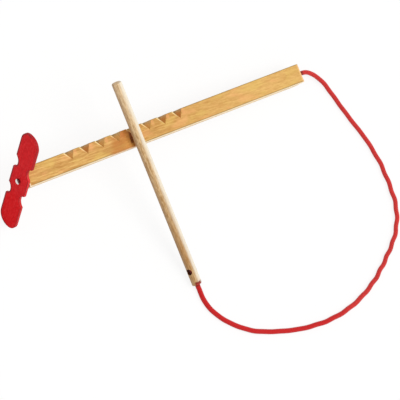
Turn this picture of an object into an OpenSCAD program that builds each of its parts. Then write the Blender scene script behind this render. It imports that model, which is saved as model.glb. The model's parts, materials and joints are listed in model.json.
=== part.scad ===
// Whimmy diddle: a notched stick with a propeller on a nail, and a rubbing dowel tied to it by a cord.
// It lies on a table: the stick leans on its propeller's lower blade and on its cord end, and the
// dowel lies across the notched part with its cord end on the table.

/* [Stick] */
// Length of the square stick
stick_len = 215.5; // [190:0.5:300]
// Width and height of the square stick
stick_w = 12; // [10:0.5:16]
// Chamfer along the four long edges
stick_ease = 0.5; // [0.2:0.1:1]
// Depth of the cord hole in the end face
cord_hole_depth = 14; // [6:1:40]

/* [Notches] */
// Number of notches along one long edge
notch_count = 8; // [5:1:9]
// Distance from one notch to the next
notch_pitch = 12; // [9:0.5:14]
// Distance from the propeller end to the middle of the first notch
first_notch = 34.5; // [28:0.5:45]
// Width of a notch along the edge that it crosses
notch_open = 7.8; // [4:0.2:8.8]
// Shift of a notch's bottom from the middle of that width, towards the cord end
notch_skew = 0.5; // [0:0.1:1]
// Depth of a notch, on the top face and on the side face alike
notch_depth = 5.7; // [3:0.1:7]

/* [Propeller] */
// Length from tip to tip
prop_len = 75; // [60:1:90]
// Width of the blades and of the hub
prop_w = 15.4; // [12:0.2:18]
// Thickness of the wood
prop_t = 1.6; // [1.2:0.1:3]
// Radius of the rounded corners at the tips
tip_r = 7.18; // [3:0.02:7.4]
// Width left between the two bites at each side of the hub
waist_w = 9.3; // [6:0.1:11]
// Radius of the bites
bite_r = 5.1; // [3.6:0.1:6]
// Distance from the hole to the middle of a bite
bite_at = 11.2; // [9:0.2:14]
// Diameter of the loose hole
prop_hole_d = 3; // [2.6:0.1:3.6]

/* [Nail] */
// Diameter of the shank
nail_d = 1.8; // [1.2:0.1:2.2]
// Diameter of the head
nail_head_d = 3.6; // [3.4:0.1:6]
// Thickness of the head
nail_head_t = 0.8; // [0.5:0.1:1.5]
// Length of the shank inside the stick
nail_hold = 18; // [10:1:28]
// Length of the point
nail_point = 3; // [2:0.5:5]
// Room between the stick and the propeller
prop_gap = 1; // [0.5:0.1:3]
// Room between the propeller and the head
nail_play = 0.5; // [0.3:0.1:2]

/* [Dowel] */
// Length of the rubbing dowel
dowel_len = 137.4; // [120:0.2:180]
// Diameter of the rubbing dowel
dowel_d = 6.2; // [5:0.2:8]
// Chamfer at both ends
dowel_ease = 0.4; // [0.2:0.1:0.8]
// Distance from the lower end to the cross hole
cross_at = 9.5; // [6:0.5:14]
// Diameter of the cross hole
cross_d = 4; // [3.2:0.1:4.2]
// Way that the cross hole faces, from straight up towards the propeller
cross_turn = 70; // [0:1:90]

/* [Cord] */
// Diameter of the cord
cord_d = 3; // [2:0.1:3]
// Diameter to which the wood squeezes its ends
cord_held_d = 2.4; // [1.8:0.1:2.6]

/* [Lie on the table] */
// Angle of the propeller, from flat on the table
prop_turn = 58; // [50:1:75]
// Slope of the dowel, down to its cord end
rub_slope = 17.6; // [14:0.2:24]
// Turn of the dowel on the table, from square across the stick
rub_turn = 8.2; // [0:0.2:15]
// Notch at which the dowel crosses the stick, counted from the propeller
rest_notch = 5; // [3:1:5]

/* [Hidden] */
$fn = 48;

// Clearances
rub_gap = 0.3;
nail_clear = 0.02;
cord_clear = 0.1;
over = 1;
arc_steps = 16;

// Wood colours
honey = [0.87, 0.67, 0.38];
pale = [0.82, 0.68, 0.49];
red = [0.78, 0.10, 0.14];
steel = [0.75, 0.75, 0.77];

// Lean of the stick: half its height less than the reach of the lower blade, over its length
half_w = stick_w / 2;
blade_w = prop_w / 2;
tip_at = prop_len / 2 - tip_r;
reach = tip_at * sin(prop_turn) + (blade_w - tip_r) * cos(prop_turn) + tip_r;
lean = atan((reach - half_w) / (stick_len + prop_gap));
along = [cos(lean), 0, -sin(lean)];
face_up = [sin(lean), 0, cos(lean)];
pivot = [0, 0, stick_len * sin(lean) + half_w * cos(lean)];

// Nail head, in front of the propeller
prop_front = prop_gap + prop_t;
head_back = prop_front + nail_play;
head_front = head_back + nail_head_t;

// Dowel: it passes over the near top edge of the stick and comes down to the table
dowel_r = dowel_d / 2;
down = [cos(rub_slope) * sin(rub_turn), -cos(rub_slope) * cos(rub_turn), -sin(rub_slope)];
cross_x = first_notch + (rest_notch - 1) * notch_pitch;
edge_point = pivot + cross_x * along + [0, stick_ease - half_w, 0] + half_w * face_up;
clear_dir = unit(cross(along, down));
over_edge = edge_point - (dowel_r + rub_gap) * clear_dir;
low_end_z = dowel_r * cos(rub_slope) - dowel_ease * sin(rub_slope);
dowel_low = over_edge + (over_edge[2] - low_end_z) / sin(rub_slope) * down;
dowel_top = dowel_low - dowel_len * down;

// Origin: the middle of the wooden parts on the table, without the cord
x_min = min(-prop_front * cos(lean) - reach * sin(lean),
            -head_front * cos(lean) - nail_head_d / 2 * sin(lean));
x_max = stick_len * cos(lean) + half_w * sin(lean);
origin = [(x_min + x_max) / 2, (dowel_low[1] + dowel_top[1]) / 2, 0];

// Cord: held in the wood at both ends, straight out of them, and loose on the table between
cord_bore_d = cord_held_d + 2 * cord_clear;
knot_d = cross_d - 2 * cord_clear;
cord_sides = 8;
cord_steps = 2;
lead_out = 1.2 * cord_d;
stick_exit = pivot + stick_len * along - origin;
dowel_exit = dowel_low - origin;
lie = cord_d / 2 + cord_clear;
route = concat(
    [stick_exit, stick_exit + lead_out * along],
    [[118, 31.2, 4.9], [122.1, 28.7, 3.9], [125.4, 25.2, 3], [128.2, 20.6, 2.2]],
    [for (p = [[130.3, 14.6], [132.2, 7.4], [134.7, -1.7], [137.6, -11.3], [140.4, -20.3],
               [142.3, -30.1], [143.5, -39.3], [143.6, -48.7], [143.2, -58.6], [141.6, -67.8],
               [137.6, -77], [131.9, -84.8], [124.1, -92], [116.3, -98.3], [108.1, -104.1],
               [98.5, -109.2], [88.2, -113.1], [78.1, -115.4], [66.9, -116.4], [56.5, -115.9],
               [46.2, -114.5], [35.6, -111.9], [25.2, -108.5], [16, -104.5], [7.4, -98.4],
               [0.5, -91.6], [-5, -83.2], [-7.3, -75.4]]) [p[0], p[1], lie]],
    [dowel_exit + lead_out * down, dowel_exit]);

function unit(v) = v / norm(v);

// A point of the smooth curve through the route, share t of the way from point i to the next
function route_at(i, t) =
    let (n = len(route) - 1,
         a = route[max(i - 1, 0)], b = route[i], c = route[i + 1], d = route[min(i + 2, n)],
         k = norm(c - b),
         tb = i == 0 ? c - b : unit(c - a) * k,
         tc = i + 2 > n ? c - b : unit(d - b) * k)
    b * (2 * t ^ 3 - 3 * t ^ 2 + 1) + tb * (t ^ 3 - 2 * t ^ 2 + t)
    + c * (3 * t ^ 2 - 2 * t ^ 3) + tc * (t ^ 3 - t ^ 2);

// One ring of the tube round a point, square to the way that the cord runs
function ring(p, way, r, sides) =
    let (side = unit(cross([0, 0, 1], way)), rise = cross(way, side))
    [for (k = [0 : sides - 1]) p + r * (cos(360 * k / sides) * side + sin(360 * k / sides) * rise)];

// Puts its children into the stick's own frame: x along the stick, y across it, z out of the top face
module stick_frame() {
    translate(pivot - origin) rotate([0, lean, 0]) children();
}

// Puts its children into the dowel's own frame: y from its cord end to its top end
module dowel_frame() {
    translate(dowel_low - origin) rotate([rub_slope, 0, rub_turn]) children();
}

// Bar along x with the square section of the stick and its four long edges eased
module square_bar(length) {
    flat = half_w - stick_ease;
    rotate([90, 0, 90]) linear_extrude(length)
        polygon([[half_w, -flat], [half_w, flat], [flat, half_w], [-flat, half_w],
                 [-half_w, flat], [-half_w, -flat], [-flat, -half_w], [flat, -half_w]]);
}

// Wedge that cuts one notch across the far top edge of the stick, steeper towards the cord end
module notch_cut() {
    root = notch_depth / sqrt(2);
    rise = (root + over) / root;
    shallow = notch_open / 2 + notch_skew;
    steep = notch_open / 2 - notch_skew;
    translate([notch_skew, half_w, half_w]) rotate([45, 0, 0])
        linear_extrude(4 * notch_depth, center = true)
            polygon([[0, -root], [steep * rise, over], [-shallow * rise, over]]);
}

module notched_stick() {
    color(honey) stick_frame() difference() {
        square_bar(stick_len);
        for (i = [0 : notch_count - 1])
            translate([first_notch + i * notch_pitch, 0, 0]) notch_cut();
        translate([-over, 0, 0]) rotate([0, 90, 0])
            cylinder(d = nail_d + 2 * nail_clear, h = nail_hold + over);
        translate([stick_len - cord_hole_depth, 0, 0]) rotate([0, 90, 0])
            cylinder(d = cord_bore_d, h = cord_hole_depth + over);
    }
}

// Outline of one long side of the propeller, from one tip to the other: two bites beside the hub
function blade_side() =
    let (bite_up = waist_w / 2 + bite_r, lip = asin((bite_up - blade_w) / bite_r))
    concat(
        [for (k = [0 : arc_steps]) let (t = 180 - 90 * k / arc_steps)
            [-tip_at + tip_r * cos(t), blade_w - tip_r + tip_r * sin(t)]],
        [for (s = [-1, 1], k = [0 : arc_steps]) let (t = 180 + lip + (180 - 2 * lip) * k / arc_steps)
            [s * bite_at + bite_r * cos(t), bite_up + bite_r * sin(t)]],
        [for (k = [0 : arc_steps]) let (t = 90 - 90 * k / arc_steps)
            [tip_at + tip_r * cos(t), blade_w - tip_r + tip_r * sin(t)]]);

module propeller() {
    side = blade_side();
    outline = concat(side, [for (p = side) -p]);
    color(red) stick_frame() translate([-prop_front, 0, 0]) rotate([prop_turn, 0, 0])
        rotate([90, 0, 90]) difference() {
            linear_extrude(prop_t) polygon(outline);
            translate([0, 0, -over]) cylinder(d = prop_hole_d, h = prop_t + 2 * over);
        }
}

// Round nail: flat head with a rounded rim, shank and point
module pivot_nail() {
    rim = nail_head_t / 2;
    color(steel) stick_frame() rotate([0, 90, 0]) rotate_extrude()
        polygon(concat(
            [[0, -head_front]],
            [for (k = [0 : arc_steps]) let (t = -90 + 180 * k / arc_steps)
                [nail_head_d / 2 - rim + rim * cos(t), rim - head_front + rim * sin(t)]],
            [[nail_d / 2, -head_back], [nail_d / 2, nail_hold - nail_point], [0, nail_hold]]));
}

module rub_dowel() {
    r = dowel_r;
    c = dowel_ease;
    color(pale) dowel_frame() difference() {
        rotate([-90, 0, 0]) rotate_extrude()
            polygon([[0, 0], [r - c, 0], [r, c], [r, dowel_len - c], [r - c, dowel_len], [0, dowel_len]]);
        translate([0, -over, 0]) rotate([-90, 0, 0]) cylinder(d = cord_bore_d, h = cross_at + over);
        translate([0, cross_at, 0]) rotate([0, -cross_turn, 0])
            cylinder(d = cross_d, h = dowel_d + 2 * over, center = true);
    }
}

// End of the cord inside the dowel, with the stopper knot and the short tail in the cross hole
module cord_knot() {
    tail = dowel_d - 2 * dowel_ease - over;
    color(red) dowel_frame() {
        rotate([-90, 0, 0]) cylinder(d = cord_held_d, h = cross_at);
        translate([0, cross_at, 0]) rotate([0, -cross_turn, 0]) {
            sphere(d = knot_d);
            cylinder(d = cord_held_d, h = tail, center = true);
        }
    }
}

// End of the cord that is glued into the stick
module cord_anchor() {
    held = cord_hole_depth - cord_clear;
    color(red) stick_frame() translate([stick_len - held, 0, 0]) rotate([0, 90, 0])
        cylinder(d = cord_held_d, h = held);
}

// Free stretch of the cord: one tube along the route
module cord() {
    last = len(route) - 2;
    path = concat([for (i = [0 : last], s = [0 : cord_steps - 1]) route_at(i, s / cord_steps)],
                  [dowel_exit]);
    n = len(path) - 1;
    ways = [for (i = [0 : n]) i == 0 ? along : i == n ? -down : unit(path[i + 1] - path[i - 1])];
    m = cord_sides;
    points = [for (i = [0 : n]) each ring(path[i], ways[i], cord_d / 2, m)];
    caps = [[for (k = [0 : m - 1]) k], [for (k = [m - 1 : -1 : 0]) n * m + k]];
    walls = [for (i = [0 : n - 1], k = [0 : m - 1])
        let (a = i * m + k, b = i * m + (k + 1) % m)
        each [[a, a + m, b], [b, a + m, b + m]]];
    color(red) polyhedron(points, concat(caps, walls), convexity = 4);
}

notched_stick();
propeller();
pivot_nail();
rub_dowel();
cord();
cord_anchor();
cord_knot();
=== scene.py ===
"""Whimmy diddle: a notched stick, its propeller on a nail, a rubbing dowel and a braided cord.

Sizes are in millimetres in the stick's or the dowel's own frame, and in metres in the meshes.
"""
import json
import math

import bpy
import numpy as np
from bpy.props import FloatProperty, FloatVectorProperty, IntProperty, PointerProperty
from mathutils import Matrix, Vector


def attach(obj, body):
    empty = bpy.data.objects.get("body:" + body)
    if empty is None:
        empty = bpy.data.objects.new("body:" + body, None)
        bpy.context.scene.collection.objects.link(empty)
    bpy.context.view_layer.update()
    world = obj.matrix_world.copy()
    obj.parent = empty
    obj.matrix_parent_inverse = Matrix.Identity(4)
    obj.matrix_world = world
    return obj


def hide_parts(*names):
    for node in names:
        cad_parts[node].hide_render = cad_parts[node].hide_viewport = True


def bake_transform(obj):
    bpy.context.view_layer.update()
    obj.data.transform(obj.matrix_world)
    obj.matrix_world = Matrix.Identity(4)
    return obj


bl_info = {
    "name": "Whimmy Diddle",
    "version": (1, 0, 0),
    "blender": (4, 5, 0),
    "location": "View3D > Sidebar > Whimmy Diddle",
    "description": "Dresses the notched stick, propeller, nail, dowel and cord of a whimmy diddle",
    "category": "Add Mesh",
}

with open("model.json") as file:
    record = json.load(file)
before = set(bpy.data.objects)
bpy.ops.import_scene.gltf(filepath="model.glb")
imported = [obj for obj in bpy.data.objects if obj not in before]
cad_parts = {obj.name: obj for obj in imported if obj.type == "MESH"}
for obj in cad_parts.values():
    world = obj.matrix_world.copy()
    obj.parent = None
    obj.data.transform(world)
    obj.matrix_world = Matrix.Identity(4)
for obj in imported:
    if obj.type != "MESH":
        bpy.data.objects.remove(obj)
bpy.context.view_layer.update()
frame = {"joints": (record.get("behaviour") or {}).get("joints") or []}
MM = 0.001


def unit(v):
    """The vector, or each row of an array of vectors, at length 1."""
    v = np.asarray(v, float)
    return v / np.linalg.norm(v, axis=-1, keepdims=True)


def paint(r, g, b):
    """Linear colour of a paint given in 0 to 255 display values."""
    c = np.array((r, g, b)) / 255
    return tuple(np.where(c <= 0.04045, c / 12.92, ((c + 0.055) / 1.055) ** 2.4))


# Frames

SPIN = next(j for j in frame["joints"] if j["name"] == "propeller_spin")
STICK_X = unit(SPIN["axis"])
STICK_Y = np.array((0.0, 1.0, 0.0))
STICK_AXES = np.array((STICK_X, STICK_Y, np.cross(STICK_X, STICK_Y)))
PIVOT = np.array(SPIN["pos_m"]) / MM

RUB_SLOPE, RUB_TURN, CROSS_TURN = map(math.radians, (17.6, 8.2, 70.0))
DOWEL_Y = np.array((-math.cos(RUB_SLOPE) * math.sin(RUB_TURN),
                    math.cos(RUB_SLOPE) * math.cos(RUB_TURN), math.sin(RUB_SLOPE)))
DOWEL_X = np.array((math.cos(RUB_TURN), math.sin(RUB_TURN), 0.0))
DOWEL_Z = np.cross(DOWEL_X, DOWEL_Y)
DOWEL_AXES = np.array((DOWEL_X, DOWEL_Y, DOWEL_Z))
DOWEL_LOW = np.array((-7.94216, -64.8147, 2.83394))
DOWEL_GRAIN = np.array((DOWEL_Y, -DOWEL_X, DOWEL_Z))


def on_stick(points):
    """Points of the stick's frame (along, across, out of the top face) in the object's frame."""
    return PIVOT + np.asarray(points, float) @ STICK_AXES


def on_dowel(points):
    """Points of the dowel's frame (y from its cord end to its top end) in the object's frame."""
    return DOWEL_LOW + np.asarray(points, float) @ DOWEL_AXES


# Settings

def size(name, what, value):
    """A length in millimetres that the user may change."""
    return FloatProperty(name=name, description=what + ", mm", default=value, min=0.01,
                         precision=2)


def angle(name, what, degrees):
    """An angle that the user may change, given here in degrees."""
    return FloatProperty(name=name, description=what, default=math.radians(degrees),
                         subtype="ANGLE")


def colour(name, what, value):
    """A colour that the user may change."""
    return FloatVectorProperty(name=name, description=what, default=paint(*value), subtype="COLOR",
                               size=3, min=0, max=1)


class StickSettings(bpy.types.PropertyGroup):
    length: size("Length", "Length of the square stick", 215.5)
    width: size("Width", "Side of the square stick", 12)
    ease: size("Ease", "Rounding of the long edges", 0.5)
    count: IntProperty(name="Notches", description="Number of notches", default=8, min=1, max=9)
    pitch: size("Pitch", "Distance between notches", 12)
    first: size("First", "From the propeller end to the middle of the first notch", 34.5)
    opening: size("Opening", "Width of a notch along the edge", 7.8)
    skew: size("Skew", "From the middle of a notch to its bottom, towards the cord end", 0.5)
    depth: size("Depth", "Depth of a notch on each face", 5.7)
    light: colour("Wood", "Colour of the wood between the growth lines", (221, 175, 101))
    dark: colour("Growth lines", "Colour of the late wood", (186, 130, 58))
    cut: colour("Cut", "Colour of the sawn wood in the notches", (214, 162, 92))


class PropellerSettings(bpy.types.PropertyGroup):
    length: size("Length", "From tip to tip", 75)
    width: size("Width", "Width of the blades", 15.4)
    thick: size("Thickness", "Thickness of the wood", 1.6)
    tip: size("Tip", "Radius of the corners at the tips", 7.18)
    waist: size("Waist", "Width between the bites", 9.3)
    bite: size("Bite", "Radius of the bites", 5.1)
    bite_at: size("Bite place", "From the hole to a bite", 11.2)
    hole: size("Hole", "Diameter of the hole", 3.0)
    turn: angle("Turn", "Angle of the propeller from flat", 58)
    gap: size("Gap", "Between the stick and the propeller", 1.0)
    red: colour("Red", "Colour of the dye", (223, 26, 34))
    # The pale pink of the propeller's rim, a painted highlight partly from rubbed wear, and of its
    # pale patches
    highlight_and_wear: colour("Worn", "Colour of the rubbed edges", (236, 84, 84))


class NailSettings(bpy.types.PropertyGroup):
    shank: size("Shank", "Diameter of the shank", 1.8)
    head: size("Head", "Diameter of the head", 3.6)
    head_thick: size("Head thickness", "Thickness of the head", 0.8)
    hold: size("Hold", "Length inside the stick", 18)
    point: size("Point", "Length of the point", 3)
    play: size("Play", "Between the propeller and the head", 0.5)
    steel: colour("Steel", "Colour of the bright steel", (226, 224, 220))


class DowelSettings(bpy.types.PropertyGroup):
    length: size("Length", "Length of the dowel", 137.4)
    diameter: size("Diameter", "Diameter of the dowel", 6.2)
    ease: size("Ease", "Rounding of the ends", 0.4)
    cross_at: size("Cross hole place", "From the cord end to the cross hole", 9.5)
    cross: size("Cross hole", "Diameter of the cross hole", 4.0)
    bore: size("Bore", "Diameter of the cord's bore", 2.6)
    light: colour("Wood", "Colour of the pale wood", (226, 194, 147))
    dark: colour("Streaks", "Colour of the darker streaks", (174, 134, 84))


class CordSettings(bpy.types.PropertyGroup):
    diameter: size("Diameter", "Diameter of the cord", 3.0)
    held: size("Held", "Diameter of its ends inside the wood", 2.4)
    kink: size("Kink", "Height of the slow waves left in the cord", 0.28)
    wave: size("Wave", "Length of one such wave", 11.6)
    strands: IntProperty(name="Strands", description="Strands each way round the braid",
                         default=8, min=3, max=16)
    red: colour("Red", "Colour of the yarn", (232, 54, 48))
    # Painted shade: the darker red between the yarns
    deep: colour("Deep red", "Colour between the yarns", (136, 14, 22))


class StageSettings(bpy.types.PropertyGroup):
    lens: size("Lens", "Focal length on a 36 mm sensor", 440.8)
    distance: FloatProperty(name="Distance", description="From the camera to the table",
                            default=2.998, unit="LENGTH")
    plan: angle("Direction", "Direction of the camera from +X", 183.876)
    height: angle("Elevation", "Camera's angle above the table", 62.786)
    roll: angle("Roll", "Turn of the camera about its own axis", 63.769)
    aim: FloatVectorProperty(name="Aim", description="Point in the middle of the view",
                             default=(0.01508, -0.01801, 0.005), subtype="TRANSLATION")
    sky: FloatProperty(name="Sky", description="Strength of the soft light all round",
                       default=0.66, min=0)
    lamp: FloatProperty(name="Lamp", description="Strength of the soft lamp at the right",
                        default=1.6, min=0)


# Shader maths

class Value:
    """A number in a material: expressions on it add its Math nodes."""

    def __init__(self, tree, socket):
        self.tree, self.socket = tree, socket

    def math(self, operation, *numbers):
        out = self.tree.add("ShaderNodeMath", dict(enumerate(numbers)), operation=operation)
        return Value(self.tree, out[0])

    def __add__(self, b): return self.math("ADD", self, b)
    def __radd__(self, b): return self.math("ADD", b, self)
    def __sub__(self, b): return self.math("SUBTRACT", self, b)
    def __rsub__(self, b): return self.math("SUBTRACT", b, self)
    def __mul__(self, b): return self.math("MULTIPLY", self, b)
    def __rmul__(self, b): return self.math("MULTIPLY", b, self)
    def __truediv__(self, b): return self.math("DIVIDE", self, b)
    def __neg__(self): return self.math("MULTIPLY", self, -1)
    def __abs__(self): return self.math("ABSOLUTE", self)
    def __gt__(self, b): return self.math("GREATER_THAN", self, b)
    def __lt__(self, b): return self.math("LESS_THAN", self, b)
    def sin(self): return self.math("SINE", self)
    def frac(self): return self.math("FRACT", self)
    def floor(self): return self.math("FLOOR", self)
    def root(self): return self.math("SQRT", self)
    def square(self): return self * self
    def low(self, b): return self.math("MINIMUM", self, b)
    def high(self, b): return self.math("MAXIMUM", self, b)
    def clipped(self): return self.high(0).low(1)

    def ramp(self, start, end):
        """0 up to start, 1 from end on, and a smooth rise between them."""
        out = self.tree.add(
            "ShaderNodeMapRange", {"Value": self, "From Min": start, "From Max": end},
            interpolation_type="SMOOTHSTEP")
        return Value(self.tree, out["Result"])

    def fall(self, start, end):
        """1 up to start and 0 from end on."""
        return 1 - self.ramp(start, end)

    def band(self, a, b, c, d):
        """0 up to a, 1 from b to c, and 0 again from d on."""
        return self.ramp(a, b) * self.fall(c, d)


class Material:
    """A new material, or a world, with the shader it starts with; add() makes any other node."""

    def __init__(self, name, family="materials", shader="Principled BSDF"):
        self.block = getattr(bpy.data, family).new(name)
        self.block.use_nodes = True
        self.nodes, self.links = self.block.node_tree.nodes, self.block.node_tree.links
        self.shader = self.nodes[shader]

    def add(self, kind, inputs=None, **settings):
        """A node of this type, its settings first and then the values or links of its sockets."""
        node = self.nodes.new(kind)
        for key, value in settings.items():
            setattr(node, key, value)
        for key, value in (inputs or {}).items():
            self.put(node.inputs[key], value)
        return node.outputs

    def put(self, socket, value):
        """Links a socket to an output, or sets its value; a colour gets its fourth number."""
        value = value.socket if isinstance(value, Value) else value
        if isinstance(value, bpy.types.NodeSocket):
            self.links.new(value, socket)
        elif socket.type == "RGBA":
            socket.default_value = (*value, 1)
        else:
            socket.default_value = value

    def place(self, axes=((1, 0, 0), (0, 1, 0), (0, 0, 1)), origin=(0, 0, 0)):
        """Object coordinates in millimetres from the origin along these axes."""
        axes = np.array(axes)
        return self.add("ShaderNodeMapping", {
            "Vector": self.add("ShaderNodeTexCoord")["Object"], "Scale": (1 / MM,) * 3,
            "Rotation": tuple(Matrix(axes.tolist()).to_euler("XYZ")),
            "Location": tuple(-(axes @ origin))})["Vector"]

    def parts(self, vector):
        """The three parts of a vector, as values."""
        out = self.add("ShaderNodeSeparateXYZ", {"Vector": vector})
        return [Value(self, out[k]) for k in range(3)]

    def noise(self, vector, scale, detail=2.0, rough=0.5):
        """Soft noise from 0 to 1, with this many waves to the millimetre, all round or each way."""
        if isinstance(scale, tuple):
            out = self.add("ShaderNodeVectorMath", {0: vector, 1: scale}, operation="MULTIPLY")
            vector, scale = out["Vector"], 1.0
        out = self.add("ShaderNodeTexNoise", {"Vector": vector, "Scale": scale, "Detail": detail,
                                              "Roughness": rough})
        return Value(self, out["Fac"])

    def mix(self, share, a, b):
        """Colour a where share is 0 and colour b where it is 1."""
        return self.add("ShaderNodeMix", {0: share, 6: a, 7: b}, data_type="RGBA")[2]

    def coats(self, base, *coats):
        """A colour with coats over it in turn: each is a share with a colour or a paint's
        r, g, b."""
        for share, *colour in coats:
            base = self.mix(share, base, paint(*colour) if len(colour) == 3 else colour[0])
        return base

    def bump(self, height, depth, strength):
        """Normal of a surface whose height goes from 0 to 1 over this depth in metres."""
        return self.add("ShaderNodeBump", {"Height": height, "Distance": depth,
                                           "Strength": strength})["Normal"]

    def seen(self):
        """1 for what the camera sees, itself or by a mirror or glass, and 0 for the other light."""
        path = self.add("ShaderNodeLightPath")
        camera, mirror, glass = (Value(self, path[f"Is {kind} Ray"])
                                 for kind in ("Camera", "Glossy", "Transmission"))
        return camera.high(mirror).high(glass)

    def finish(self, **sockets):
        """Sets the shader's sockets; names have _ for a space."""
        for key, value in sockets.items():
            self.put(self.shader.inputs[key.replace("_", " ")], value)
        return self.block


# Surfaces

def quads(rows, columns, closed=True):
    """Faces of a grid of points, row by row; closed joins the last column to the first."""
    r = np.arange(rows - 1)[:, None] * columns
    c = np.arange(columns if closed else columns - 1)[None, :]
    n = (c + 1) % columns
    return np.stack((r + c, r + n, r + columns + n, r + columns + c), -1).reshape(-1, 4)


def capped(grid):
    """Points and outward faces of a grid closed on itself, with one face over each of its ends."""
    rows, columns = grid.shape[:2]
    ends = [np.arange(columns), np.arange(columns)[::-1] + (rows - 1) * columns]
    return grid.reshape(-1, 3), list(quads(rows, columns)[:, ::-1]) + ends


def spokes(n):
    """For a square block of n cells a side: each point's distance from the middle, which is 1 all
    along the block's edge, and its direction from the middle."""
    i, j = np.meshgrid(*[np.linspace(-1, 1, n + 1)] * 2, indexing="ij")
    return np.maximum(np.abs(i), np.abs(j)), np.arctan2(j, i)


def draw_in(block, ring, far):
    """The block drawn in to a ring: a point halfway in lies on the ring, one at the edge stays,
    those between are mixed in proportion, and the ones inside the ring are left out later."""
    share = np.clip(2 * far - 1, 0, 1)
    return np.where(far > 0.45, ring * (1 - share) + block * share, block)


def in_ring(faces, columns, row, column, n):
    """Whether each face lies inside the ring of the block of n cells a side that starts there."""
    i = (faces[:, 0] // columns + 0.5 - row) * 2 / n - 1
    j = (faces[:, 0] % columns + 0.5 - column) * 2 / n - 1
    return np.maximum(np.abs(i), np.abs(j)) < 0.5


def shape(name, points, faces, looks, body, node, slot, uv=None):
    """A new piece from points in millimetres and a list of faces; it stands for a CAD node."""
    mesh = bpy.data.meshes.new(name)
    mesh.from_pydata((np.asarray(points) * MM).tolist(), [], [list(map(int, f)) for f in faces])
    if uv is not None:
        mesh.uv_layers.new(name="UVMap").data.foreach_set("uv", np.asarray(uv, np.float32).ravel())
    mesh.polygons.foreach_set("use_smooth", np.ones(len(mesh.polygons), bool))
    mesh.materials.append(looks)
    mesh.validate()
    mesh.update()
    piece = bpy.data.objects.new(name, mesh)
    bpy.context.scene.collection.objects.link(piece)
    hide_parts(node)
    if body:
        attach(piece, body)
    return piece


def soften(piece, width, segments, angle):
    """Rounds the sharp edges of a piece."""
    bevel = piece.modifiers.new("Softened edges", "BEVEL")
    bevel.width, bevel.segments = width * MM, segments
    bevel.limit_method, bevel.angle_limit = "ANGLE", math.radians(angle)
    bevel.harden_normals = True


def stick_surface(s):
    """The stick as one grid: rows along it, columns round its square section.

    Row x holds the square of half side h with rounded corners. At the notched corner the corner
    is cut off k millimetres along both faces: k is the ease between notches, and rises in a
    straight line to the depth at a notch's bottom, over the shallow width before it and the
    steep width after it. The end rows draw in to the bored holes.
    """
    h, e = s.width / 2, s.ease
    shallow, steep = s.opening / 2 + s.skew, s.opening / 2 - s.skew
    bottoms = s.first + s.skew + s.pitch * np.arange(s.count)
    part = (1 - e / s.depth) * np.array((1, 0.75, 0.5, 0.25))
    steps = np.concatenate((-shallow * part, (0,), steep * part[::-1]))
    x = (bottoms[:, None] + steps).ravel()
    start = np.linspace(0, bottoms[0] - shallow - 2, 8)
    plain = np.linspace(bottoms[-1] + steep + 2, s.length - 2, 24)
    x = np.sort(np.concatenate((start, x, plain, (s.length,))))
    off = x[:, None] - bottoms
    near = np.where(off < 0, -off / shallow, off / steep).min(1)
    k = np.maximum(e, s.depth * (1 - near))[:, None]

    t = np.linspace(0, 1, 7)[None, :]
    arc = math.pi / 2 * t
    deep = np.clip((k - e) / 0.05, 0, 1)
    round_y, round_z = h - k + k * np.sin(arc), h - k + k * np.cos(arc)
    chord_y, chord_z = h - k + k * t, h - k * t
    cut = np.stack((round_y + (chord_y - round_y) * deep, round_z + (chord_z - round_z) * deep), -1)

    def corner(sy, sz, start):
        """A quarter circle of radius e in five points at every row, from the angle start down."""
        a = np.radians(start) - np.linspace(0, math.pi / 2, 5)
        p = np.stack((sy * (h - e) + e * np.cos(a), sz * (h - e) + e * np.sin(a)), -1)
        return np.broadcast_to(p, (len(x), 5, 2))

    def face(a, b, n):
        """n points on the straight line between a and b at every row."""
        f = np.linspace(0, 1, n + 2)[1:-1, None]
        return a[:, None, :] * (1 - f) + b[:, None, :] * f

    low_right, low_left, top_left = corner(1, -1, 0), corner(-1, -1, -90), corner(-1, 1, 180)
    ring = np.concatenate((cut, face(cut[:, -1], low_right[:, 0], 7), low_right,
                           face(low_right[:, -1], low_left[:, 0], 7), low_left,
                           face(low_left[:, -1], top_left[:, 0], 7), top_left,
                           face(top_left[:, -1], cut[:, 0], 7)), 1)
    body = np.concatenate((np.broadcast_to(x[:, None, None], ring.shape[:2] + (1,)), ring), 2)

    def end(row, radius, depth, way):
        """Rings from the end's outline in to its hole, and down the hole."""
        angle = np.arctan2(row[:, 2], row[:, 1])
        hole = np.stack((row[:, 0], radius * np.cos(angle), radius * np.sin(angle)), -1)
        f = np.array((0.35, 0.65, 0.88, 1))[:, None, None]
        rings = row * (1 - f) + hole * f
        down = hole[None] + np.array((0.35, 1, 1))[:, None, None] * np.array((way * depth, 0, 0))
        down[-1, :, 1:] *= 0.3
        return np.concatenate((rings, down))

    near_end = end(body[0], radius=0.92, depth=16, way=1)[::-1]
    far_end = end(body[-1], radius=1.3, depth=13.5, way=-1)
    points, faces = capped(np.concatenate((near_end, body, far_end)))
    return on_stick(points), faces


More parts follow.
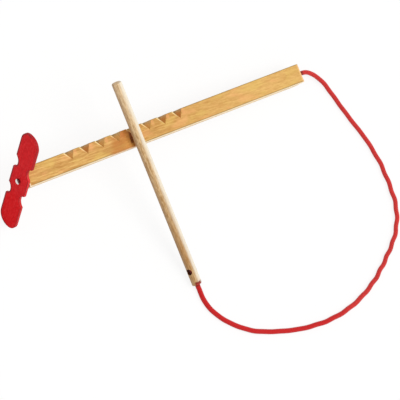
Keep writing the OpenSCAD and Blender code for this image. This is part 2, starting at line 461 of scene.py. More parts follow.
def propeller_surface(s):
    """One face of the propeller: a grid over its length, drawn in to the half width at each place.

    The half width is a quarter circle at each tip, straight along the blade, and a circle's
    lower arc at each bite. Round the hole, a block of the grid is drawn in to a circle. UV is
    (distance from the outline, 0).
    """
    half, wide, r = s.length / 2, s.width / 2, s.tip
    patch, cells, strips = 3.6, 12, 3
    bite_up = s.waist / 2 + s.bite
    lip = math.sqrt(s.bite ** 2 - (bite_up - wide) ** 2)
    a = np.radians(np.linspace(90, 0, 15))
    tip = half - r + r * np.cos(a)
    bite = s.bite_at + lip * np.sin(np.linspace(-math.pi / 2, math.pi / 2, 19))
    blade = np.linspace(s.bite_at + lip, half - r, 9)
    hub = np.linspace(patch, s.bite_at - lip, 5)
    out = np.unique(np.round(np.concatenate((hub, bite, blade, tip)), 5))
    core = np.linspace(-1, 1, cells + 1)
    l = np.concatenate((-out[::-1], patch * core[1:-1], out))
    m = np.abs(l)
    round_tip = wide - r + np.sqrt(np.maximum(r ** 2 - (m - half + r) ** 2, 0))
    width = np.where(m > half - r, round_tip, wide)
    inside = np.abs(m - s.bite_at) < lip
    drop = np.sqrt(np.maximum(s.bite ** 2 - (m - s.bite_at) ** 2, 0))
    width = np.where(inside, np.minimum(width, bite_up - drop), width)
    mid = np.minimum(patch, 0.6 * width)[:, None]
    side = mid + (width[:, None] - mid) * np.linspace(0, 1, strips + 1)[None, 1:]
    b = np.concatenate((-side[:, ::-1], core * mid, side), 1)
    grid = np.stack((np.broadcast_to(l[:, None], b.shape), b), -1)

    first = len(out) - 1
    block = grid[first:first + cells + 1, strips:strips + cells + 1]
    far, angle = spokes(cells)
    ring = s.hole / 2 * np.stack((np.cos(angle), np.sin(angle)), -1)
    block[:] = draw_in(block, ring, far[..., None])
    rows, columns = grid.shape[:2]
    faces = quads(rows, columns, closed=False)
    faces = faces[~in_ring(faces, columns, first, strips, cells)]
    used = np.unique(faces)
    again = np.zeros(rows * columns, int)
    again[used] = np.arange(len(used))
    flat = grid.reshape(-1, 2)[used]
    cos, sin = math.cos(s.turn), math.sin(s.turn)
    across = flat[:, 0] * cos - flat[:, 1] * sin
    up = flat[:, 0] * sin + flat[:, 1] * cos
    points = np.stack((np.full(len(flat), -s.gap - s.thick / 2), across, up), -1)
    inset = np.minimum(width[:, None] - np.abs(b), half - m[:, None]).ravel()[faces].ravel()
    return on_stick(points), list(again[faces]), np.stack((inset, 0 * inset), -1)


def turned(profile, sides):
    """Grid of a profile (along, radius) turned about the first axis: rows follow the profile."""
    a = 2 * math.pi * np.arange(sides) / sides
    p = np.asarray(profile)
    return np.stack((np.broadcast_to(p[:, :1], (len(p), sides)),
                     p[:, 1:] * np.cos(a), p[:, 1:] * np.sin(a)), -1)


def nail_surface(s, prop):
    """The nail turned about its axis: a slightly domed head with a rolled rim, shank and point."""
    front = -(prop.gap + prop.thick + s.play + s.head_thick)
    back = front + s.head_thick
    rim, r, q, dome = s.head_thick / 2, s.head / 2, s.shank / 2, 0.06
    a = np.radians(np.linspace(-80, 90, 12))
    head = [(front, 0.15)] + [(front + dome * f ** 2, (r - rim) * f) for f in (0.35, 0.65, 0.9)]
    head += [(front + dome + rim + (rim - dome) * math.sin(t), r - rim + rim * math.cos(t))
             for t in a]
    shank = [(back, q + 0.35), (back + 0.1, q + 0.08), (back + 0.35, q)]
    shank += [(x, q) for x in np.linspace(back + 1.5, s.hold - s.point, 8)]
    shank += [(s.hold - s.point * f, q * f ** 0.9) for f in (0.66, 0.33, 0.04)]
    points, faces = capped(turned(head + shank, 40))
    return on_stick(points), faces


def dowel_surface(s):
    """The dowel's wall as a grid round and along it, with its two cross openings and its bore.

    Each opening is a block of the grid drawn in to the line where the cross hole meets the round
    wall: across the hole's direction the wall's angle is arcsin(hole radius / wall radius). The
    ends are rounded, the cord end draws in to the bore, and a tube joins the openings.
    """
    r, e, n = s.diameter / 2, s.ease, 12
    reach, deep = 2.7, 5.5
    along = s.cross_at + reach * np.linspace(-1, 1, n + 1)
    a = np.radians(np.linspace(0, 90, 5))
    low = np.stack((e - e * np.cos(a), r - e + e * np.sin(a)), -1)
    high = np.stack((s.length - e + e * np.sin(a), r - e + e * np.cos(a)), -1)
    wall = np.concatenate((np.linspace(e, along[0], 5)[1:-1], along,
                           np.linspace(along[-1], s.length - e, 44)[1:-1]))
    profile = np.concatenate((low, np.stack((wall, r + 0 * wall), -1), high))
    first = len(low) + 3
    span = reach / r
    quarter = np.linspace(-span, span, n + 1)
    rest = np.linspace(span, math.pi - span, n + 1)[1:-1]
    angle = np.concatenate((quarter, rest, quarter + math.pi, rest + math.pi))
    rows, columns = len(profile), len(angle)
    y, turn = np.tile(profile[:, :1], columns), np.tile(angle, (rows, 1))
    radius = profile[:, 1:]
    far, way = spokes(n)
    hole, faces = s.cross / 2, quads(rows, columns)
    for start, centre in ((0, 0.0), (2 * n, math.pi)):
        box = (slice(first, first + n + 1), slice(start, start + n + 1))
        y[box] = draw_in(y[box], s.cross_at + hole * np.cos(way), far)
        turn[box] = draw_in(turn[box], centre + np.arcsin(hole * np.sin(way) / r), far)
        faces = faces[~in_ring(faces, columns, first, start, n)]
    grid = np.stack((radius * np.cos(turn), y, radius * np.sin(turn)), -1)

    def opening(start):
        """Numbers of the grid points round one opening, in order."""
        lo, hi = n // 4, n - n // 4
        there = np.concatenate((np.arange(lo, hi), np.full(hi - lo, hi),
                                np.arange(hi, lo, -1), np.full(hi - lo, lo)))
        return (first + np.roll(there, hi - lo)) * columns + (start + there) % columns

    def wall_between(ids):
        """Faces between rows of point numbers, each row closed on itself."""
        after = np.roll(ids, -1, axis=1)
        return np.stack((ids[1:], after[1:], after[:-1], ids[:-1]), -1).reshape(-1, 4)

    one, two = opening(0), opening(2 * n)
    points = grid.reshape(-1, 3)
    mirror = points[one] * (-1, 1, 1)
    two = two[np.linalg.norm(points[two][:, None] - mirror[None], axis=-1).argmin(0)]
    steps = np.linspace(0, 1, 7)[1:-1, None, None]
    tube = points[one][None] * (1 - steps) + points[two][None] * steps
    between = len(points) + np.arange(len(steps) * len(one)).reshape(len(steps), -1)
    inner = wall_between(np.concatenate((one[None], between, two[None])))

    theta = np.arctan2(grid[0, :, 2], grid[0, :, 0])
    bore = s.bore / 2
    down = np.array([(wide * np.cos(theta), np.full(columns, depth), wide * np.sin(theta))
                     for depth, wide in ((0, (bore + r - e) / 2), (0, bore + 0.08), (0.3, bore),
                                         (3, bore), (deep, bore))]).transpose(0, 2, 1)
    below = len(points) + between.size + np.arange(len(down) * columns).reshape(-1, columns)
    mouth = wall_between(np.concatenate((np.arange(columns)[None], below)))
    caps = [below[-1], (rows - 1) * columns + np.arange(columns)]
    x, y, z = np.concatenate((points, tube.reshape(-1, 3), down.reshape(-1, 3))).T
    # The openings face the x axis so far; turn them to the cross hole's own direction
    cos, sin = math.cos(CROSS_TURN), math.sin(CROSS_TURN)
    points = np.stack((-x * sin - z * cos, y, x * cos - z * sin), -1)
    return on_dowel(points), list(faces) + list(inner) + caps + list(mouth)


# Cord

# The step between the cord's points and the number of them round it, the depth between its
# strands, the height of its middle on the table, and its way there
CORD_STEP, CORD_SIDES = 0.2, 40
RELIEF = 0.05
LIE = 1.6
FLAT = [(130.3, 14.6), (132.2, 7.4), (134.7, -1.7), (137.6, -11.3), (140.4, -20.3),
        (142.3, -30.1), (143.5, -39.3), (143.6, -48.7), (143.2, -58.6), (141.6, -67.8),
        (137.6, -77), (131.9, -84.8), (124.1, -92), (116.3, -98.3), (108.1, -104.1),
        (98.5, -109.2), (88.2, -113.1), (78.1, -115.4), (66.9, -116.4), (56.5, -115.9),
        (46.2, -114.5), (35.6, -111.9), (25.2, -108.5), (16, -104.5), (7.4, -98.4),
        (0.5, -91.6), (-5, -83.2), (-7.3, -75.4)]


def cord_route(stick, diameter):
    """Route of the cord: out of the stick's end, down to the table, round at the height LIE over
    the points FLAT, and up into the dowel."""
    out = on_stick([stick.length, 0, 0])
    lead = 1.2 * diameter
    drop = [(118, 31.2, 4.9), (122.1, 28.7, 3.9), (125.4, 25.2, 3), (128.2, 20.6, 2.2)]
    return np.array([out, out + lead * STICK_X, *drop, *[(x, y, LIE) for x, y in FLAT],
                     DOWEL_LOW - lead * DOWEL_Y, DOWEL_LOW])


def smooth_line(route, steps=40):
    """Smooth curve through the route: cubic pieces whose slope at a point is that of the line
    between its two neighbours, with the length of the piece."""
    r = np.concatenate((route[:1], route, route[-1:]))
    a, b, c, d = r[:-3, None], r[1:-2, None], r[2:-1, None], r[3:, None]
    k = np.linalg.norm(c - b, axis=-1, keepdims=True)
    tb, tc = unit(c - a) * k, unit(d - b) * k
    t = np.linspace(0, 1, steps, endpoint=False)[None, :, None]
    p = (b * (2 * t ** 3 - 3 * t ** 2 + 1) + tb * (t ** 3 - 2 * t ** 2 + t)
         + c * (3 * t ** 2 - 2 * t ** 3) + tc * (t ** 3 - t ** 2))
    return np.concatenate((p.reshape(-1, 3), route[-1:]))


def evenly(line, step):
    """The same line with points at equal distances along it, and the distance of each."""
    s = np.concatenate(((0,), np.cumsum(np.linalg.norm(np.diff(line, axis=0), axis=1))))
    t = np.linspace(0, s[-1], int(round(s[-1] / step)) + 1)
    return np.stack([np.interp(t, s, line[:, k]) for k in range(3)], -1), t


def rise(t, start, end):
    """0 before start, 1 after end, smooth between."""
    f = np.clip((t - start) / (end - start), 0, 1)
    return f * f * (3 - 2 * f)


def waved(line, t, height, wave):
    """The line with the slow waves that the braided cord keeps: a small corkscrew on the table,
    weaker at both ends and in two stretches."""
    way = unit(np.gradient(line, axis=0))
    side = unit(np.cross((0, 0, 1), way))
    share = 0.3 + 0.7 * rise(t, 60, 105) - 0.45 * rise(t, 155, 180) - 0.35 * rise(t, 205, 235)
    share = share * rise(t, 6, 30) * rise(t[-1] - t, 6, 30)
    phase = 2 * math.pi * (t / wave + 0.22 * np.sin(t / 23))
    lift = np.stack((0 * t, 0 * t, 0.5 * height * share * (1 + np.cos(phase))), -1)
    return line + side * (height * share * np.sin(phase))[:, None] + lift


def rope(line, t, radius, strands, shrink=1.0):
    """Tube along the line whose radius follows a braid: strands run both ways round, each a low
    rounded ridge, and at each crossing one family lies on top in turn. UV is (turns, length), and
    shrink scales the radius, all along or point by point."""
    way = unit(np.gradient(line, axis=0))
    side = unit(np.cross((0.01, 0.02, 1), way))
    up = np.cross(way, side)
    rows, columns = len(line), CORD_SIDES
    a = np.arange(columns) / columns
    step = 2 * math.pi * radius / strands
    one = strands * a[None, :] + t[:, None] / step
    two = strands * a[None, :] - t[:, None] / step
    over = (np.floor(one) + np.floor(two)) % 2 < 1
    ridge = np.where(over, np.sin(math.pi * one) ** 2, np.sin(math.pi * two) ** 2)
    r = (radius - RELIEF * (1 - ridge)) * np.reshape(shrink, (-1, 1))
    turn = 2 * math.pi * a[None, :]
    grid = (line[:, None] + side[:, None] * (r * np.cos(turn))[..., None]
            + up[:, None] * (r * np.sin(turn))[..., None])
    faces = quads(rows, columns)
    i, j = faces[:, 0] // columns, faces[:, 0] % columns
    u = np.stack((j, j + 1, j + 1, j), -1) / columns
    v = np.stack((t[i], t[i], t[i + 1], t[i + 1]), -1)
    uv = np.stack((u, v), -1).reshape(-1, 2)
    ends = [np.arange(columns)[::-1], np.arange(columns) + (rows - 1) * columns]
    return grid.reshape(-1, 3), list(faces) + ends, np.concatenate((uv, np.zeros((2 * columns, 2))))


def knot(s, dowel, length):
    """Cord end up the dowel's bore, with a stopper knot: the tube swells to the knot's radius in
    three rounded turns round the middle of the cross hole."""
    ball, radius = dowel.cross / 2 - 0.4, s.held / 2
    y = np.linspace(0, dowel.cross_at + 0.9 * ball, 60)
    line = on_dowel(np.stack((0 * y, y, 0 * y), -1))
    near = (y - dowel.cross_at) / ball
    turns = 1 + 0.05 * np.cos(near * 9.4)
    bulge = np.sqrt(np.maximum(1 - near ** 2, 0)) * (ball - 0.08) * turns
    return rope(line, y + length, radius, s.strands, np.where(near < -0.66, radius, bulge) / radius)


# Materials

# What lies this near to an end is its end face
SKIN = 0.06


def wood(name, place, tilt, s, rings, streak, pore, pith, details):
    """Bare wood: growth lines about a pith line outside the piece, fine streaks and short dashes
    along the grain, dark pores and broad soft patches. place is the axes, with x along the piece,
    and their origin, and the grain runs at the angle tilt to x. details paints what is this
    piece's own."""
    m = Material(name)
    whole = m.place(*place)
    p = m.add("ShaderNodeMapping", {"Vector": whole, "Rotation": (0, 0, tilt)})["Vector"]
    x, y, z = m.parts(p)
    wander = m.noise(p, (0.012, 0.08, 0.08)) - 0.5
    away = ((y - pith[0]).square() + (z - pith[1]).square()).root()
    late = ((away + wander * 7) / rings).frac().band(0.25, 0.95, 0.95, 1.0)
    fibre = m.noise(p, (0.09, 1.8, 1.8), 4, 0.65)
    broad = m.noise(p, (0.04, 0.3, 0.3), 3)
    dash = m.noise(p, (0.3, 1.1, 1.1), 2, 0.55)
    pores = m.noise(p, (0.22, 9.0, 9.0), 2, 0.6).ramp(0.63, 0.74)
    tone = late * 0.14 + (fibre + dash - 1) * streak + (broad - 0.5) * 0.9 + 0.41
    base = m.coats(s.light, (tone.clipped(), s.dark), (pores * pore, s.dark * 0.5))
    rough = 0.5 + fibre * 0.12
    height = fibre * 0.5 - pores * 0.5 + late * 0.15
    base, rough, height = details(m, whole, base, rough, height, fibre)
    return m.finish(Base_Color=base, Roughness=rough, Normal=m.bump(height, 0.00012, 0.6),
                    Specular_IOR_Level=0.25)


def stick_wood(s):
    """Honey wood of the stick, paler towards its cord end, with the sawn walls of its notches,
    darker long edges, painted light and shade about the notches and the dowel, and end grain."""
    h = s.width / 2
    bottom = s.first + s.skew

    def details(m, p, base, rough, height, fibre):
        """Paints the stick's streaks, notches, edges and ends, with painted light and shade, over
        the plain wood.
        """
        x, y, z = m.parts(p)
        top = z > h - 0.6
        streak = m.noise(p, (0.06, 0.9, 0.9))
        streaky = (1 - x.ramp(90, 120) * 0.75) * 0.4
        tint = m.noise(p, (0.07, 0.16, 0.16))
        base = m.coats(
            base, (x.ramp(110, 170) * 0.24, 240, 200, 122),
            (x.band(20, 36, 145, 175) * 0.22, s.dark),
            (streak.ramp(0.5, 0.6) * streaky, 174, 124, 56),
            (streak.fall(0.38, 0.48) * streaky, 236, 198, 120),
            (tint.ramp(0.52, 0.68) * 0.35, 240, 172, 112),
            (tint.fall(0.34, 0.48) * 0.35, 220, 186, 96))

        # count is the number of the nearest notch, from 0, and past the way from its bottom
        count = ((x - bottom) / s.pitch + 0.5).floor()
        past = x - bottom - count * s.pitch
        notched = (count > -0.5) * (count < s.count - 0.5)
        saw = ((y + z) < 2 * h - 0.75) * ((y + z) > 0.2) * (y < h - 0.05) * (z < h - 0.05)
        saw = saw * notched * (y > 0.1) * (z > 0.1)
        ends = (x < SKIN).high(x > s.length - SKIN)
        speck = m.noise(p, 5.5, 3, 0.7)
        marks = m.noise(p, (2.2, 2.2, 7), 2, 0.6)

        # Walls: browner at the inner corner, partly the sawn wood's colour and partly painted
        # shade, some of them redder, greyer at the far edge, painted shade low down, a painted
        # highlight on the wall before each bottom, and a pale painted highlight line along the edge
        # before each
        across = (y - (h - s.depth)) / s.depth
        odd = (count - 3.75).square()
        wall = m.coats(
            paint(200, 150, 74), (across.ramp(0.05, 0.5), s.cut),
            ((odd > 4.5) * (odd < 12) * 0.75, 184, 112, 44),
            (across.ramp(0.6, 1.0) * 0.75, 186, 168, 130),
            # Painted shade low in the notch; next, saw marks and a painted highlight on the wall
            # before the bottom
            (z.fall(h - 5.0, h - 2.6) * 0.7, 134, 120, 78),
            ((marks - 0.35).high(0) * 0.8, 150, 100, 52), ((past < 0) * 0.8, 250, 206, 138))
        # Painted highlight: a pale line along the lit edge before each notch
        start = past + (s.opening / 2 + s.skew) * (1 - (h - y) / s.depth)
        highlight_and_wear = start.ramp(-1.0, -0.45) * (start < 0.25) * top * y.ramp(h - s.depth, h)
        lip = past.band(2.2, 2.8, 4.2, 5.2) * (1 - saw) * (z > h - 0.5) * y.ramp(0.5, 4)
        base = m.coats(
            base, (saw * 0.9, wall), (highlight_and_wear * notched * 0.9, 255, 230, 168),
            (lip * notched * 0.4, 240, 168, 112))

        # Darker long edges, painted light and shade on the near side and beside the dowel, and the
        # end grain
        edge = abs(y).ramp(h - 0.75, h - 0.2) * abs(z).ramp(h - 0.75, h - 0.2)
        near_edge_dark = (-y).ramp(h - 1.2, h - 0.7) * top * x.ramp(2, 8)
        # Painted highlight: the near side face painted pale, paler towards the top
        pale_side_highlight = (-y).ramp(h - 0.6, h - 0.2) * (0.34 + 0.44 * z.ramp(-3, 5) + 0.3 * (tint - 0.5))
        # Brown zone beside the dowel: partly a rub mark, partly painted shade; painted lighter near
        # the dowel against its shadow
        rubbed = (x - y * 0.5).ramp(62.5, 68) * x.fall(80, 84) * top * (1 - saw)
        from_dowel = x - y * 0.165
        brown = m.mix(from_dowel.ramp(72, 77), paint(186, 112, 44), paint(204, 118, 46))
        # Painted shadow: the dark core of the dowel's contact shadow across the top face
        dowel_shadow_line = from_dowel.band(78.4, 79.6, 80.8, 81.6) * top * (-y).fall(h - 3.2, h - 2)
        # Painted light: the wood under the dowel's edge painted pale against its shade
        under = from_dowel.band(81.2, 82, 84, 85) * top
        base = m.coats(
            base, (edge * (0.4 + 0.5 * marks), 140, 118, 66), (near_edge_dark * 0.6, 138, 108, 50),
            (pale_side_highlight, 255, 240, 208), (rubbed * (0.3 + 0.7 * tint), brown),
            (dowel_shadow_line * 0.82, 112, 44, 4), (under * 0.8, 255, 196, 156),
            ((x < SKIN) * (0.1 + 0.25 * speck), s.dark),
            # Painted light: the end face's corner by the propeller painted pale against the
            # propeller's shadow
            ((x < 0.6) * (-y).ramp(h - 2.5, h - 1.5) * 0.9, 255, 234, 200),
            ((x > s.length - SKIN) * (0.35 + 0.4 * speck), s.dark * 0.75),
            # Painted highlight: a pale rim at the cord end
            (x.ramp(s.length - 1.3, s.length - 0.5) * 0.5, 255, 206, 150))
        return base, rough + (saw + ends) * 0.2, height + (saw * marks + ends * speck) * 0.9

    return wood("Honey wood", (STICK_AXES, PIVOT), 0.1, s, 1.7, 1.7, 0.35, (-20, 16), details)


def dowel_wood(s):
    """Pale wood of the dowel: long streaks, browner towards its cord end, with a painted highlight
    down one side and painted shade down the other, a dark red-brown patch and red marks where the
    cord goes in, and painted shade inside its holes."""

    def details(m, p, base, rough, height, fibre):
        """Paints the dowel's streaks, its lit and shaded sides, the marks at its cord end and the
        painted shade in its holes over the plain wood.
        """
        x, y, z = m.parts(p)
        speck = m.noise(p, 5.5, 3, 0.7)
        ends = (x < SKIN).high(x > s.length - SKIN)
        # Painted shade: the walls inside the bore and the cross hole painted dark
        inside = (y.square() + z.square() < (s.diameter / 2 - 0.12) ** 2) * (x < 14) * (x > SKIN)
        low_end = x.fall(30, 100)
        long_streak = m.noise(p, (0.03, 1.8, 1.8), 3, 0.6).ramp(0.5, 0.72)
        browner = (long_streak * (0.5 + 0.1 * low_end) + 0.36 * low_end).low(1)
        side = (z * 0.482 - y * 0.876) / (s.diameter / 2)
        lit_flank = side + (fibre - 0.5) * 1.1
        soaked = x + (fibre - 0.5) * 3
        # A dark red-brown patch at the cord end, and red marks by the bore's mouth
        dark_end_patch = soaked.fall(1.7, 2.6) * side.ramp(-0.5, -0.2) * (1 - side.ramp(0.7, 1.0) * 0.6)
        fluff = soaked.fall(0.5, 1.1) * side.band(-0.2, 0.0, 0.6, 0.8)
        base = m.coats(
            base, (x.ramp(95, 130) * 0.25, 242, 222, 190),
            (browner, np.array(s.dark) * (0.92, 0.84, 0.72)),
            (x.band(9, 16, 18, 50) * 0.45, 156, 98, 26),
            # Painted highlight down the side towards the lamp; next, painted shade down the other
            # side
            (lit_flank.ramp(0.1, 0.85) * 0.75, 241, 236, 220),
            ((-side).ramp(0.3, 0.95) * 0.55, 154, 126, 96), (dark_end_patch * 0.95, 124, 8, 0),
            (fluff * 0.9, 186, 50, 40), (ends * (0.1 + 0.3 * speck), s.dark), (inside, 92, 44, 22))
        return base, rough, height + ends * speck * 0.8

    return wood("Pale wood", (DOWEL_GRAIN, DOWEL_LOW), 0.03, s, 1.5, 3.0, 0.4, (9, -14), details)


def red_wood(s):
    """Thin wood dyed red: faint grain, mottle and small patches in the dye, a darker line round
    each face that is stronger on one side, as painted shade, and a rim painted dark as shade on
    one blade and pale as a painted highlight, partly rubbed wear, on the hub and the other blade."""
    m = Material("Red dyed wood")
    cos, sin, half = math.cos(s.turn), math.sin(s.turn), s.thick / 2
    p = m.place(np.array(((0, cos, sin), (0, -sin, cos), (1, 0, 0))) @ STICK_AXES, PIVOT)
    x, y, z = m.parts(p)
    inset = m.parts(m.add("ShaderNodeTexCoord")["UV"])[0]
    fibre = m.noise(p, (0.06, 2.2, 2.2), 4, 0.6)
    mottle = m.noise(p, (0.12, 0.25, 0.25), 3)
    grit = m.noise(p, 2.4, 2, 0.6)
    patch = m.noise(p, (0.5, 0.9, 0.9), 3, 0.7) - 0.5
    tone = (fibre - 0.5) * 2.2 + (mottle - 0.5) * 0.8 + (grit - 0.5) * 1.2 + 0.35
    rim = abs(z + s.gap + half).fall(half - 0.34, half - 0.06)
    # Painted light on the rim: a pale painted highlight, partly wear, on the hub; painted shade on
    # the blades
    wall = m.coats(
        s.highlight_and_wear, (x.ramp(6, 12), 166, 34, 40), (x.fall(-13, -8) * 0.85, 188, 44, 46),
        (grit.ramp(0.62, 0.72) * 0.5, 236, 150, 150))
    # Painted shade: a dark line round each face, stronger on the side away from the lamp
    far_side = y.fall(-2, 2)
    line = (inset - far_side * 0.45).fall(0.2, 0.8) * (1 - rim)
    base = m.coats(
        s.red, (tone.clipped(), s.red * 0.74), (x.fall(-16, -4) * 0.7, 218, 2, 12),
        (patch.high(0), s.highlight_and_wear), ((-patch).high(0) * 2.4, 166, 0, 8),
        (line * (0.5 + far_side * 0.25), 112, 46, 50),
        (rim * (0.3 + 0.5 * abs(x).ramp(6, 10)), wall))
    return m.finish(Base_Color=base, Roughness=0.46 + 0.14 * fibre, Specular_IOR_Level=0.05,
                    Normal=m.bump(fibre * 0.6 + grit * 0.25, 0.0001, 0.5))


def steel(s):
    """Bright nail steel with fine drawn lines and a few dull specks, and painted shade at one side
    of the head."""
    m = Material("Nail steel")
    p = m.place()
    z = m.parts(m.place(STICK_AXES, PIVOT))[2]
    lines = m.noise(p, (0.6, 9, 9), 3, 0.6)
    specks = m.noise(p, 3.2, 3, 0.6).ramp(0.6, 0.75)
    # Painted shade: the head's upper side painted dark red-brown
    base = m.coats(s.steel, (specks * 0.5, s.steel * 0.5), (z.ramp(0.35, 1.0) * 0.94, 86, 14, 18))
    return m.finish(Base_Color=base, Metallic=1.0 - 0.25 * specks, Roughness=0.24 + 0.18 * lines,
                    Normal=m.bump(lines, 0.00002, 0.5))


def braid_yarn(s, length):
    """Red braid: ridges that run both ways round the cord, with fine threads along each ridge and
    painted shade between the ridges.
    It is darker in its last third, and painted shade darkens it where it goes into the wood at both
    ends."""
    m = Material("Red braid")
    u, v, _ = m.parts(m.add("ShaderNodeTexCoord")["UV"])
    step = math.pi * s.diameter / s.strands
    one, two = u * s.strands + v / step, u * s.strands - v / step
    over = ((one.floor() + two.floor()) * 0.5).frac() < 0.25
    under = 1 - over
    ridge = over * (one * math.pi).sin().square() + under * (two * math.pi).sin().square()
    thread = ((one * 5 * over + two * 5 * under) * math.pi * 2).sin() * 0.5 + 0.5
    p = m.place()
    fuzz = m.noise(p, 4.0, 3, 0.6)
    patch = m.noise(p, 0.09)
    # Painted shade between the ridges, mixed with darker threads, fuzz and patches
    dark = ridge.fall(0.0, 0.8) * 0.85 + (1 - thread) * 0.12 + (fuzz - 0.5) * 0.35
    # Painted shade where the cord goes into the wood at both ends
    held = v.fall(4.2, 5.8).high(v.ramp(length - 1.6, length - 0.4))
    base = m.coats(
        s.red, ((dark + (patch - 0.5) * 0.35).clipped(), s.deep),
        (v.ramp(180, 215) * 0.85, 192, 0, 4), (held * 0.8, 110, 26, 6))
    height = ridge.root() * 0.75 + thread * 0.12 + fuzz * 0.12
    return m.finish(Base_Color=base, Roughness=0.72, Normal=m.bump(height, 0.0001, 0.7),
                    Sheen_Weight=0.35, Sheen_Roughness=0.4, Specular_IOR_Level=0.3)


# Operators

# The camera's sensor in mm, and the table's half side in metres with its share of plain white
SENSOR = 36
TABLE, PLAIN = 4, 0.86
# The lamp's place by the camera's right, up and back, the angle it fills and its colour
LAMP_FROM = (0.72, 0.10, 0.66)
LAMP_WIDTH = math.radians(44)
LAMP_COLOUR = (1.0, 0.985, 0.96)


class MakeCord(bpy.types.Operator):
    """Lays the braided cord on its route, with its ends in the stick and in the dowel"""
    bl_idname = "whimmy.make_cord"
    bl_label = "Cord"

    def execute(self, context):
        s, stick, dowel = (getattr(context.scene, k) for k in ("wd_cord", "wd_stick", "wd_dowel"))
        line, t = evenly(smooth_line(cord_route(stick, s.diameter)), CORD_STEP)
        line, t = evenly(waved(line, t, s.kink, s.wave), CORD_STEP)
        yarn = braid_yarn(s, float(t[-1]))
        # The cord is a little thicker towards the dowel
        full = 0.96 + 0.10 * rise(t, 140, 200)
        points, faces, uv = rope(line, t, s.diameter / 2, s.strands, full)
        cord = shape("braided_cord", points, faces, yarn, None, "cord", "red_cord", uv)
        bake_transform(cord)

        inner = np.linspace((stick.length - 13, 0, 0), (stick.length, 0, 0), 60)
        points, faces, uv = rope(on_stick(inner), inner[:, 0] - stick.length, s.held / 2, s.strands)
        shape("cord_end_in_stick", points, faces, yarn, "stick", "cord_anchor", "red_cord", uv)
        points, faces, uv = knot(s, dowel, t[-1])
        shape("cord_knot_in_dowel", points, faces, yarn, "dowel", "cord_knot", "red_cord", uv)
        return {"FINISHED"}


class MakeStick(bpy.types.Operator):
    """Cuts the notched stick"""
    bl_idname = "whimmy.make_stick"
    bl_label = "Notched stick"

    def execute(self, context):
        s = context.scene.wd_stick
        piece = shape("stick_wood", *stick_surface(s), stick_wood(s), "stick", "notched_stick",
                      "honey_wood")
        soften(piece, 0.14, 2, 35)
        return {"FINISHED"}


class MakePropeller(bpy.types.Operator):
    """Shapes the propeller and its nail"""
    bl_idname = "whimmy.make_propeller"
    bl_label = "Propeller and nail"

    def execute(self, context):
        s, nail = context.scene.wd_propeller, context.scene.wd_nail
        points, faces, uv = propeller_surface(s)
        piece = shape("propeller_wood", points, faces, red_wood(s), "propeller", "propeller",
                      "red_paint", uv)
        thick = piece.modifiers.new("Thickness", "SOLIDIFY")
        thick.thickness, thick.offset = s.thick * MM, 0.0
        soften(piece, 0.32, 3, 40)
        shape("nail_steel", *nail_surface(nail, s), steel(nail), "stick", "pivot_nail",
              "nail_steel")
        return {"FINISHED"}


class MakeDowel(bpy.types.Operator):
    """Turns the rubbing dowel"""
    bl_idname = "whimmy.make_dowel"
    bl_label = "Rubbing dowel"

    def execute(self, context):
        s = context.scene.wd_dowel
        piece = shape("dowel_wood", *dowel_surface(s), dowel_wood(s), "dowel", "rub_dowel",
                      "pale_wood")
        soften(piece, 0.12, 2, 40)
        return {"FINISHED"}


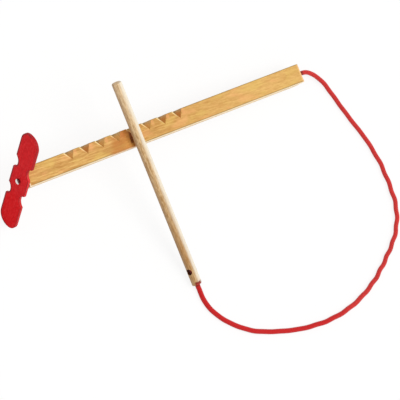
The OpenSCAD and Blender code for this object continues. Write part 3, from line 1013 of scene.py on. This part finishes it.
class MakeStage(bpy.types.Operator):
    """Sets the table, the lights and the camera"""
    bl_idname = "whimmy.make_stage"
    bl_label = "Stage"

    def execute(self, context):
        s, scene = context.scene.wd_stage, context.scene
        low, high = math.cos(s.height), math.sin(s.height)
        back = np.array((low * math.cos(s.plan), low * math.sin(s.plan), high))
        right = unit(np.cross(-back, (0, 0, 1)))
        up = np.cross(right, -back)
        x = math.cos(s.roll) * right + math.sin(s.roll) * up
        y = -math.sin(s.roll) * right + math.cos(s.roll) * up
        axes = np.array((x, y, back))
        lens = bpy.data.cameras.new("Camera")
        lens.lens, lens.sensor_width, lens.clip_start, lens.clip_end = s.lens, SENSOR, 0.1, 20
        camera = bpy.data.objects.new("Camera", lens)
        spot = Matrix.Translation((np.array(s.aim) + back * s.distance).tolist())
        camera.matrix_world = spot @ Matrix(axes.T.tolist()).to_4x4()
        scene.collection.objects.link(camera)
        scene.camera = camera

        room = Material("Soft white room", "worlds", "Background")
        scene.world = room.finish(Color=(1, 1, 1), Strength=s.sky + (1 - s.sky) * room.seen())

        sun = bpy.data.lights.new("Lamp at the right", "SUN")
        sun.energy, sun.angle, sun.color = s.lamp, LAMP_WIDTH, LAMP_COLOUR
        lamp = bpy.data.objects.new("Lamp at the right", sun)
        lamp.rotation_mode = "QUATERNION"
        shine = -unit(LAMP_FROM @ axes)
        lamp.rotation_quaternion = Vector(shine.tolist()).to_track_quat("-Z", "Y")
        scene.collection.objects.link(lamp)

        floor = bpy.data.meshes.new("table")
        corners = [(i * TABLE, j * TABLE, 0) for i, j in ((-1, -1), (1, -1), (1, 1), (-1, 1))]
        floor.from_pydata(corners, [], [(0, 1, 2, 3)])
        floor.materials.append(self.table_white())
        table = bpy.data.objects.new("table", floor)
        scene.collection.objects.link(table)
        scene.view_settings.view_transform = "Standard"
        return {"FINISHED"}

    def table_white(self):
        """White table: mostly plain white to the camera, with a share of its lit surface, which
        keeps a soft shadow of the object."""
        m = Material("White table")
        m.finish(Base_Color=(0.92, 0.92, 0.92), Roughness=0.9, Specular_IOR_Level=0.1)
        glow = m.add("ShaderNodeEmission", {"Color": (1, 1, 1), "Strength": 1.0})["Emission"]
        mixed = m.add("ShaderNodeMixShader", {0: m.seen() * PLAIN, 1: m.shader.outputs[0], 2: glow})
        m.put(m.nodes["Material Output"].inputs["Surface"], mixed[0])
        return m.block


class WhimmyPanel(bpy.types.Panel):
    """Lists the pieces of the whimmy diddle"""
    bl_idname = "VIEW3D_PT_whimmy"
    bl_label = "Whimmy Diddle"
    bl_space_type = "VIEW_3D"
    bl_region_type = "UI"
    bl_category = "Whimmy Diddle"

    def draw(self, context):
        for operator in OPERATORS:
            self.layout.operator(operator.bl_idname)
        for key, kind in SETTINGS.items():
            box = self.layout.box()
            group = getattr(context.scene, key)
            for name in kind.__annotations__:
                box.prop(group, name)


SETTINGS = {"wd_stage": StageSettings, "wd_stick": StickSettings, "wd_propeller": PropellerSettings,
            "wd_nail": NailSettings, "wd_dowel": DowelSettings, "wd_cord": CordSettings}
OPERATORS = (MakeStage, MakeCord, MakeStick, MakePropeller, MakeDowel)
KINDS = (*SETTINGS.values(), *OPERATORS, WhimmyPanel)


def register():
    for kind in KINDS:
        bpy.utils.register_class(kind)
    for key, kind in SETTINGS.items():
        setattr(bpy.types.Scene, key, PointerProperty(type=kind))


def unregister():
    for key in SETTINGS:
        delattr(bpy.types.Scene, key)
    for kind in reversed(KINDS):
        bpy.utils.unregister_class(kind)


def main():
    """Builds the stage and every piece."""
    register()
    for operator in OPERATORS:
        family, name = operator.bl_idname.split(".")
        getattr(getattr(bpy.ops, family), name)()


if __name__ == "__main__":
    main()
